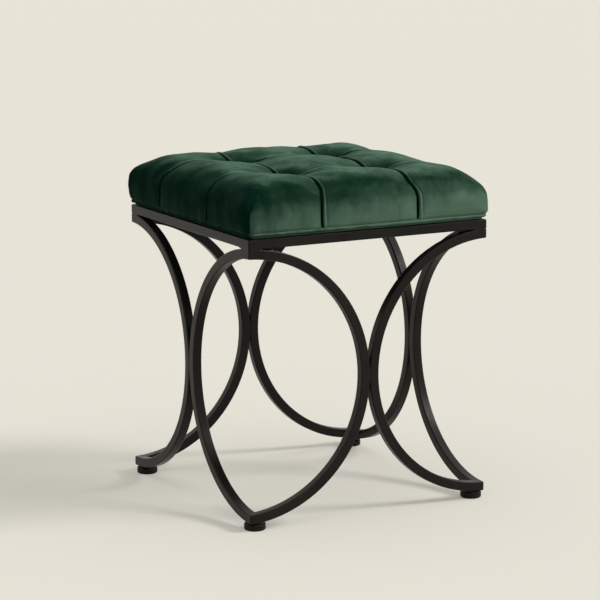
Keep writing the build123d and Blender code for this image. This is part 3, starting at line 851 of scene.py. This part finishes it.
def settledMoves(steps):
    # how far the cloth run moves each point: worked out on a coarse grid, then spread smoothly
    coarse = settle.steps
    nodes = np.linspace(steps[0], steps[-1], coarse)
    points, blocks, fields = cushionForm(nodes)
    moves = blownCover(points, blocks[0], heldShare(fields)) - points
    length = np.linalg.norm(moves, axis=1, keepdims=True)
    moves = moves * settle.cap * np.tanh(length / settle.cap) / np.maximum(length, 1e-9)
    weights = smoothWeights(steps, nodes)
    grid = moves[:coarse * coarse].reshape(coarse, coarse, 3)
    top = np.einsum("ai,bj,ijk->abk", weights, weights, grid, optimize=True)
    rings = moves[coarse * coarse:-1].reshape(-1, 4, coarse - 1, 3)
    runs = np.concatenate([rings, np.roll(rings, -1, axis=1)[:, :, :1]], axis=2)  # with the next one's start
    spread = np.einsum("ai,rsik->rsak", weights[:-1], runs, optimize=True)
    print(f"cloth run: moved up to {length.max() / mm:.1f} mm, mean {length.mean() / mm:.2f} mm")
    return np.vstack([top.reshape(-1, 3), spread.reshape(-1, 3), moves[-1:]])


def buildCushion():
    # form, cloth moves less their even swelling, soft lumps and fuller corners
    limit = flatHalf + clothBend * cushion.borderTurn
    crowds = [(tuftReach, cushion.spread, cushion.fine), (limit, cushion.endSpread, cushion.endFine)]
    steps = crowdedPlaces(limit, 1 / cushion.plain, crowds)
    points, blocks, fields = cushionForm(steps)
    quads = blocks[0]
    normals = vertexNormals(points, quads)
    free = (1 - heldShare(fields)) * (1 - fields.sewn)
    moves = settledMoves(steps)
    swelling = (moves * normals).sum(1)
    evenSwelling = (swelling * free).sum() / (free * free).sum()
    soft = lumps(points, *cushion.lumps)
    soft = soft * np.minimum(fields.crease * cushion.lumpShare, 1)
    points = points + moves + normals * (soft - evenSwelling * free)[:, None]
    for corner, (push, lift) in cushion.fuller.items():
        signX, signY = cornerSigns[corner]
        away = np.hypot(points[:, 0] - signX * sideHalf, points[:, 1] - signY * sideHalf)
        near = bell(away, 0, cushion.fullerWidth) * (1 - fields.sewn)
        points = points + near[:, None] * [signX * push, signY * push, lift]

    # the grid is pinched where its corners lie on the shoulder, so it is evened out there
    count = len(steps)
    even = np.zeros(len(points))
    for number in (0, count - 1, count * (count - 1), count * count - 1):
        away = np.linalg.norm(points - points[number], axis=1)
        even = np.maximum(even, bell(away, 0, cushion.evenWidth))
    points = evenedOut(points, quads, np.where(even > cushion.evenFrom, even, 0), cushion.evenPasses)
    normals = vertexNormals(points, quads)

    # painted light and shade on the pile, with painted shade in grooves, pits and down the corners and
    # painted highlight on fold lips; then a pleat in each crease and a tuck down each corner
    acrossX, acrossY, fromCorner = fields.acrossX, fields.acrossY, fields.fromCorner
    nearTuft = np.exp(-fields.fromTuft / cushion.tuftEaseWidth)
    pleatShare = fields.pleat * (1 - cushion.tuftEase * nearTuft)
    pleat = pleatShare * (bells(acrossX, cushion.pleat) + bells(acrossY, cushion.pleat))
    folds = pleat + fields.tuck * cushion.tuckDepth * bells(fromCorner, cushion.tuck)
    uneven = lumps(points, *paintedNapLight.uneven)
    paintedLightAndMottle = paintedNapShading(normals, points, uneven, bell(acrossX, 0, paintedNapLight.brushedWidth))
    # painted highlight on the fold lips (less where they face sideways), painted shade in the fold grooves,
    # the tuft pits and down each corner below the top
    paintedLipHighlight = np.maximum(folds, 0) * (1 - paintedNapLight.lipTurned * np.abs(normals[:, 0]))
    paintedLightAndMottle += paintedNapLight.groove * np.minimum(folds, 0) + paintedNapLight.lip * paintedLipHighlight
    edge = np.clip((crown - paintedNapLight.cornerFrom - points[:, 2]) / paintedNapLight.cornerRun, 0, 1)
    paintedLightAndMottle -= paintedNapLight.pit * fields.pit + paintedNapLight.corner * bell(fromCorner, 0, paintedNapLight.cornerWidth) * edge
    points = points + normals * folds[:, None]
    for axis, across in ((0, acrossX), (1, acrossY)):
        lean = bell(across, cushion.leanPlace, cushion.leanWidth)
        points[:, axis] -= pleatShare * cushion.lipLean * lean
    return points, blocks, paintedLightAndMottle


points, blocks, paintedLightAndMottle = buildCushion()
seat = addPiece("tuftedCushion", points, blocks, velvetSeat, slot="velvet",
                replaced=["velvet_cover", "foam_block"], paintedLightAndMottle=paintedLightAndMottle)
print("cushion made:", len(points), "points")

# Piping: a covered cord along the seam, with a fin of cloth that runs in to the seam
cord = Settings(
    straightSteps=90, arcSteps=15, around=24, inset=0.1 * mm,
    fin=1.5 * mm, finTurn=0.72 * np.pi, finWidth=0.5, finPower=3,
    pucker=0.22 * mm, puckerPitch=4.2 * mm, bias=0.35, biasPitch=2.1 * mm, biasTurns=2,
    sideways=(0.25 * mm, 190 * mm, 60 * mm), upward=(0.25 * mm, 160 * mm, 50 * mm),
    # painted highlight on the cord's upper half and painted shade on its lower half; mottle is random tone
    lit=0.36, mottle=(0.10, 30 * mm, 7 * mm),
)


def squarePath(half, radius):
    # rounded square, anticlockwise, a straight run and a quarter arc per side; also each point's way outward
    middle = half - radius
    run = np.linspace(-middle, middle, cord.straightSteps, endpoint=False)
    turn = np.linspace(-np.pi / 2, 0, cord.arcSteps, endpoint=False)
    x = np.hstack([run, middle + radius * np.cos(turn)])
    y = np.hstack([np.full_like(run, -half), -middle + radius * np.sin(turn)])
    outX = np.hstack([np.zeros_like(run), np.cos(turn)])
    outY = np.hstack([-np.ones_like(run), np.sin(turn)])
    return allFourSides(surface(x, y, 0 * x)), allFourSides(surface(outX, outY, 0 * outX))


def buildPiping():
    # round section along the path, drawn out to a puckered fin towards the seam, with slanting wrinkles
    cornerRadius = pipingHalf - (bandHalf - cushion.cornerSeam)
    path, outward = squarePath(pipingHalf, cornerRadius)
    stepLength = np.linalg.norm(np.roll(path, -1, axis=0) - path, axis=1)
    along = np.hstack([[0], np.cumsum(stepLength)[:-1]])[:, None]
    turn = np.linspace(0, 2 * np.pi, cord.around, endpoint=False)[None, :]
    towardsSeam = bell(turn, cord.finTurn, cord.finWidth)
    slant = np.sin(2 * np.pi * (along / cord.biasPitch) + cord.biasTurns * turn)
    bias = cord.bias * cord.pucker * slant
    pucker = cord.pucker * np.sin(2 * np.pi * along / cord.puckerPitch) * towardsSeam
    fin = cord.fin * towardsSeam ** cord.finPower
    radius = pipingRadius - cord.inset + fin + pucker + bias
    out = radius * np.cos(turn) + lumps(path, *cord.sideways)[:, None]
    rise = radius * np.sin(turn) + lumps(path, *cord.upward)[:, None]
    points = path[:, None, :] + outward[:, None, :] * out[..., None]
    points[..., 2] += pipingLevel + rise
    points = points.reshape(-1, 3)
    rows, around = out.shape
    quads = gridFaces(gridNumbers(rows, around), closedRows=1, closedColumns=1)
    # painted light and shade as on the cushion's sides, a painted highlight on the cord's upper half and
    # painted shade on its lower half, and a random mottle
    paintedLightAndMottle = paintedNapShading(np.repeat(outward, around, axis=0), points)
    paintedLightAndMottle = paintedLightAndMottle + cord.lit * np.tile(np.sin(turn[0]), rows)
    paintedLightAndMottle += lumps(points, *cord.mottle)
    return points, turnedOut(points, [quads]), paintedLightAndMottle


points, blocks, paintedLightAndMottle = buildPiping()
addPiece("seamPiping", points, blocks, velvetCord, slot="velvet", replaced=["piping"], paintedLightAndMottle=paintedLightAndMottle)
print("piping made")

# Tuft stitches: two crossed threads drawn down into each pit
stitch = Settings(
    reach=3.0 * mm, thread=0.75 * mm, arch=1.1 * mm, dip=2.2 * mm, rows=17, around=12,
    pitShare=0.87, grooveShare=0.8, angles=(np.pi / 4, 3 * np.pi / 4),
)
pitLevel = (crown - 2 * cushion.puffDepth - stitch.pitShare * cushion.pitLimit
            + stitch.grooveShare * cushion.pleat["groove"][0])


def stitchSections(angle, centreX, centreY):
    # thread along a low arch whose two ends go down into the cloth
    along, turn = tubeGrid(-1, stitch.rows, stitch.around)
    lift = stitch.arch * (1 - along ** 2) - stitch.dip * along ** 4
    side = stitch.thread * np.cos(turn)
    forward = stitch.reach * along
    x = centreX + forward * np.cos(angle) - side * np.sin(angle)
    y = centreY + forward * np.sin(angle) + side * np.cos(angle)
    return surface(x, y, pitLevel + lift + stitch.thread * np.sin(turn))


stitches = [sweptTube(stitchSections(angle, signX * tuftReach, signY * tuftReach))
            for signX, signY in cornerSigns.values() for angle in stitch.angles]
addPiece("tuftStitches", *joined(stitches), greenTwine, slot="twine", replaced=["tuft_ties"])
print("stitches made")

# Lining: one sheet stretched under the board, sagging a little inside the ring, pierced for the bolts
under = Settings(
    sag=1.8 * mm, steps=121, boltHead=10.5 * mm, hole=3.4 * mm, fine=0.8 * mm, spread=5 * mm,
    ripple=(0.25 * mm, 120 * mm, 40 * mm),
)
liningHalf = liningHigh.x
boltReach = boltHigh.x - under.boltHead / 2


def buildLining():
    # square sheet whose sag is the square of a parabola in x times a parabola in y, both nothing at the ring;
    # faces in the bolt holes are left out
    crowds = [(boltReach, under.spread, under.fine)]
    steps = crowdedPlaces(liningHalf, under.steps / (2 * liningHalf), crowds)
    x, y = np.meshgrid(steps, steps, indexing="ij")
    inside = ringHalf - tubeSide
    hollow = (np.maximum(1 - (x / inside) ** 2, 0) * np.maximum(1 - (y / inside) ** 2, 0)) ** 2
    ripple = lumps(surface(x, y, 0 * x).reshape(-1, 3), *under.ripple)
    z = (liningLow.z + liningHigh.z) / 2 - hollow * (under.sag + ripple.reshape(x.shape))
    points = surface(x, y, z).reshape(-1, 3)
    quads = gridFaces(gridNumbers(len(steps), len(steps)))
    middle = points[quads].mean(1)
    fromBolt = np.hypot(np.abs(middle[:, 0]) - boltReach, np.abs(middle[:, 1]) - boltReach)
    used, quads = np.unique(quads[fromBolt > under.hole], return_inverse=True)
    return points[used], [quads.reshape(-1, 4)[:, ::-1]]


lining = addPiece("underLining", *buildLining(), blackLining, slot="lining", replaced=["under_lining"])
print("lining made")

# CAD pieces that keep their shape get their finish
finishes = {powderCoat: ("corner_plate", "foot_bush"), studSteel: ("glide_stud",), birchPly: ("seat_board",),
            zincSteel: ("seat_bolts", "seat_washers", "tee_nuts", "staples")}
for material, starts in finishes.items():
    for name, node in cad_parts.items():
        if name.startswith(starts):
            node.data.materials.clear()
            node.data.materials.append(material)
print("finishes given")

# Stage: a plain pale floor and a pale world, brighter to the camera and to mirrors than they light the object
stage = Settings(
    floorHalf=60.0, floor=(0.66, 0.638, 0.572, 1), floorBounce=(0.42, 0.40, 0.36, 1),
    floorGlow=(0.235, 0.229, 0.211, 1), noGlow=(0, 0, 0, 1),
    sky=(0.82, 0.79, 0.72, 1), fill=(0.28, 0.28, 0.27, 1),
    keyLight={"towards": (0.86, -0.50, 0.80), "spread": 17, "strength": 1.55, "tint": (1.0, 0.985, 0.96)},
    topLight={"towards": (0.15, -0.10, 1.0), "spread": 80, "strength": 0.8, "tint": (1.0, 0.99, 0.97)},
)


def seenMix(owner, unseen, seen):
    # one colour for the diffuse rays that light the object, another for camera, glossy and transmission rays
    path = addNode(owner, "ShaderNodeLightPath", {}).outputs
    direct = path["Is Camera Ray"]
    for name in ("Is Glossy Ray", "Is Transmission Ray"):
        direct = mathNode(owner, "MAXIMUM", direct, path[name])
    mixed = addNode(owner, "ShaderNodeMix", {"Factor": direct, 6: unseen, 7: seen}, data_type="RGBA")
    return mixed.outputs[2]


def addSoftSun(name, towards, spread, strength, tint):
    # a wide distant lamp, even over the whole floor, shining from a direction
    lamp = bpy.data.lights.new(name, "SUN")
    lamp.angle = np.radians(spread)
    lamp.energy = strength
    lamp.color = tint
    sun = bpy.data.objects.new(name, lamp)
    sun.rotation_euler = Vector(towards).to_track_quat("Z", "Y").to_euler()
    scene.collection.objects.link(sun)


floorMaterial = newMaterial("paleFloor", {
    "Roughness": 0.9, "Specular IOR Level": 0.1, "Emission Strength": 1.0})
feed(floorMaterial, {
    "Base Color": seenMix(floorMaterial, stage.floorBounce, stage.floor),
    "Emission Color": seenMix(floorMaterial, stage.noGlow, stage.floorGlow)})
half = stage.floorHalf
floorMesh = bpy.data.meshes.new("floor")
floorMesh.from_pydata([(-half, -half, 0), (half, -half, 0), (half, half, 0), (-half, half, 0)], [],
                      [(0, 1, 2, 3)])
floorMesh.materials.append(floorMaterial)
floor = bpy.data.objects.new("floor", floorMesh)
scene.collection.objects.link(floor)

world = bpy.data.worlds.new("paleWorld")
world.use_nodes = True
scene.world = world
feed(world, {"Color": seenMix(world, stage.fill, stage.sky)}, "Background")
for name in ("keyLight", "topLight"):
    addSoftSun(name, **stage[name])

# Camera at the photographed viewpoint
view = Settings(
    place=(-1.73047, -3.18614, 0.97345), azimuth=np.radians(-28.378), elevation=np.radians(10.779),
    roll=np.radians(-0.147), lens=148.616, sensor=36.0,
)
cameraData = bpy.data.cameras.new("camera")
cameraData.lens = view.lens
cameraData.sensor_width = view.sensor
camera = bpy.data.objects.new("camera", cameraData)
turned = (Matrix.Rotation(view.azimuth, 4, "Z") @ Matrix.Rotation(np.pi / 2 - view.elevation, 4, "X")
          @ Matrix.Rotation(view.roll, 4, "Z"))
camera.matrix_world = Matrix.Translation(view.place) @ turned
scene.collection.objects.link(camera)
scene.camera = camera
print("stage and camera set")

bpy.context.view_layer.update()
